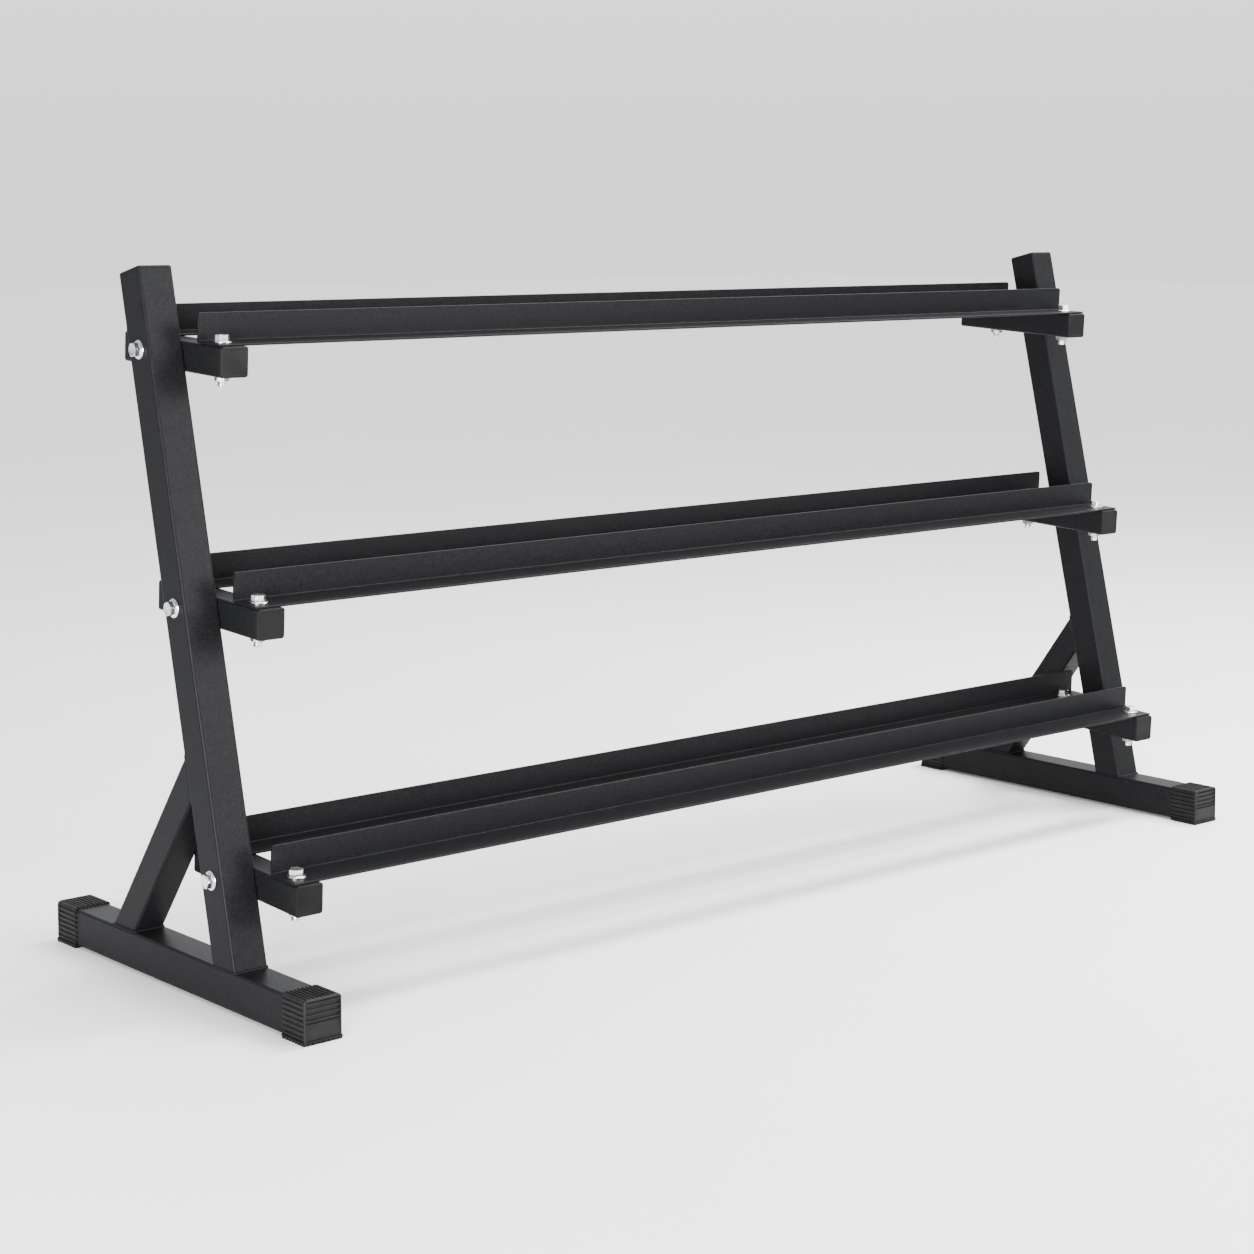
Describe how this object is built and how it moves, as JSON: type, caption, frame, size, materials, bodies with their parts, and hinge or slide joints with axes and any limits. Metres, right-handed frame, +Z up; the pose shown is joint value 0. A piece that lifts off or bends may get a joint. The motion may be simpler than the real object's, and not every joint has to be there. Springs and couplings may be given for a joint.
{
  "type": "dumbbell rack",
  "caption": "Free-standing tiered dumbbell rack: two leaning tube side frames with braces and rubber-capped feet, joined by bolted angle rails on forward-sloping arms.",
  "frame": {"origin": "on the floor, under the middle of the rack", "axes": "+X along the rails, -Y towards the front, where the shelves slope down, +Z up"},
  "size_m": [1.907, 0.64, 0.9817],
  "materials": {
    "powder_coat": "fine-textured satin black powder coat",
    "rubber": "matt black moulded rubber",
    "plastic": "satin black moulded plastic",
    "zinc": "bright zinc plate"
  },
  "bodies": {
    "root": {"left_foot_tube": "powder_coat", "right_foot_tube": "powder_coat", "left_upright": "powder_coat", "right_upright": "powder_coat", "left_brace": "powder_coat", "right_brace": "powder_coat", "left_welds": "powder_coat", "right_welds": "powder_coat", "left_upright_plug": "plastic", "right_upright_plug": "plastic", "left_front_foot_cap": "rubber", "left_rear_foot_cap": "rubber", "right_front_foot_cap": "rubber", "right_rear_foot_cap": "rubber", "left_top_arm": "powder_coat", "left_middle_arm": "powder_coat", "left_bottom_arm": "powder_coat", "right_top_arm": "powder_coat", "right_middle_arm": "powder_coat", "right_bottom_arm": "powder_coat", "left_top_front_plug": "plastic", "left_middle_front_plug": "plastic", "left_bottom_front_plug": "plastic", "right_top_front_plug": "plastic", "right_middle_front_plug": "plastic", "right_bottom_front_plug": "plastic", "left_top_rear_plug": "plastic", "left_middle_rear_plug": "plastic", "left_bottom_rear_plug": "plastic", "right_top_rear_plug": "plastic", "right_middle_rear_plug": "plastic", "right_bottom_rear_plug": "plastic", "top_front_rail": "powder_coat", "middle_front_rail": "powder_coat", "bottom_front_rail": "powder_coat", "top_rear_rail": "powder_coat", "middle_rear_rail": "powder_coat", "bottom_rear_rail": "powder_coat", "left_top_arm_bolt": "zinc", "left_middle_arm_bolt": "zinc", "left_bottom_arm_bolt": "zinc", "right_top_arm_bolt": "zinc", "right_middle_arm_bolt": "zinc", "right_bottom_arm_bolt": "zinc", "left_weld_nuts": "powder_coat", "right_weld_nuts": "powder_coat", "top_rail_bolts": "zinc", "middle_rail_bolts": "zinc", "bottom_rail_bolts": "zinc", "top_rail_nuts": "zinc", "middle_rail_nuts": "zinc", "bottom_rail_nuts": "zinc"}
  },
  "joints": []
}
